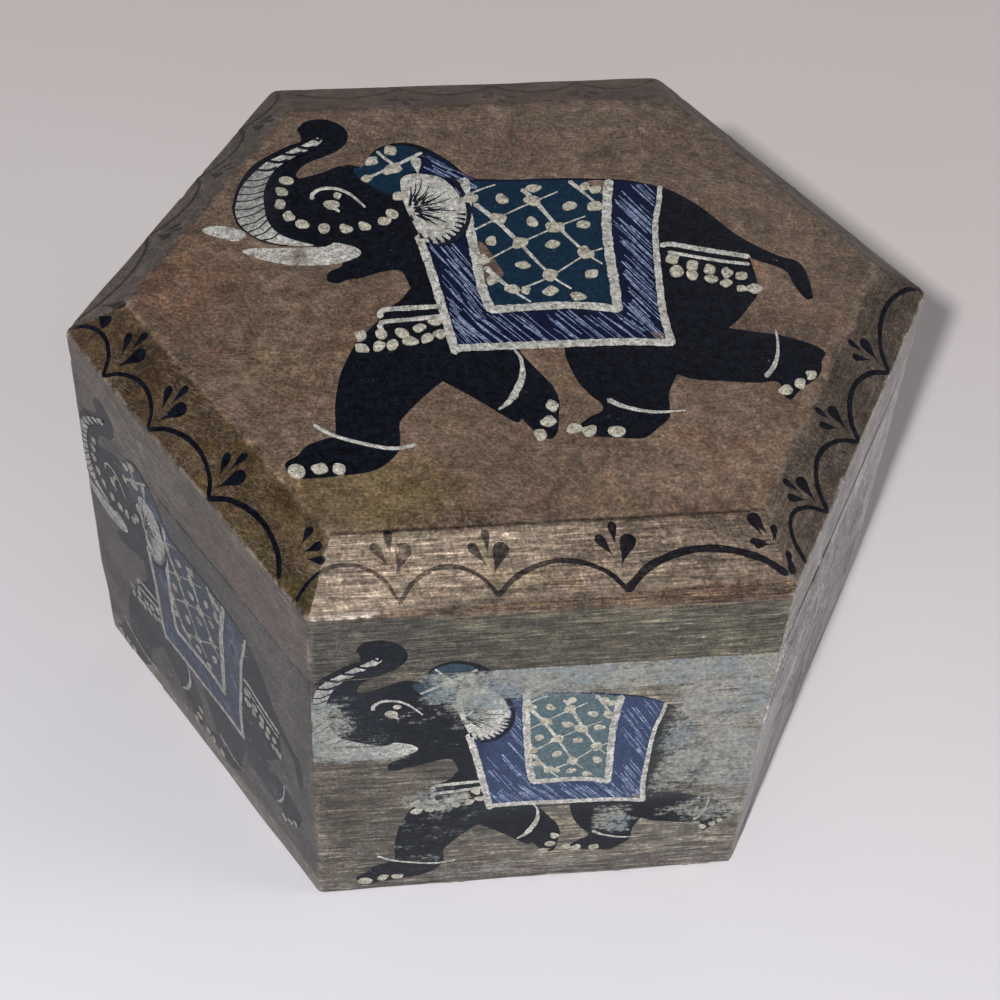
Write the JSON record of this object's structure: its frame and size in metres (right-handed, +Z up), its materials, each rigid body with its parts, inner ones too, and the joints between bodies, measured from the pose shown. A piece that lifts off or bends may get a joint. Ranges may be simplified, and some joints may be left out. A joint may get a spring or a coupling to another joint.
{
  "type": "hexagonal stone trinket box",
  "caption": "Hexagonal carved stone trinket box: a hollow base and a lift-off lid with a bevelled border and a plug that seats in the mouth.",
  "frame": {"origin": "middle of the flat face that the box stands on", "axes": "+Z up along the box's own axis, +X through two opposite corners, -Y out of the front side"},
  "size_m": [0.0996, 0.0866, 0.0566],
  "materials": {
    "base_stone": "satin, hand rubbed",
    "lid_stone": "satin, hand rubbed"
  },
  "bodies": {
    "base": {"base": "base_stone"},
    "lid": {"lid": "lid_stone"}
  },
  "joints": [
    {"name": "lid_lift", "type": "slide", "parent": "base", "child": "lid", "axis": [0, 0, 1], "range_m": [0, 0.06]}
  ]
}
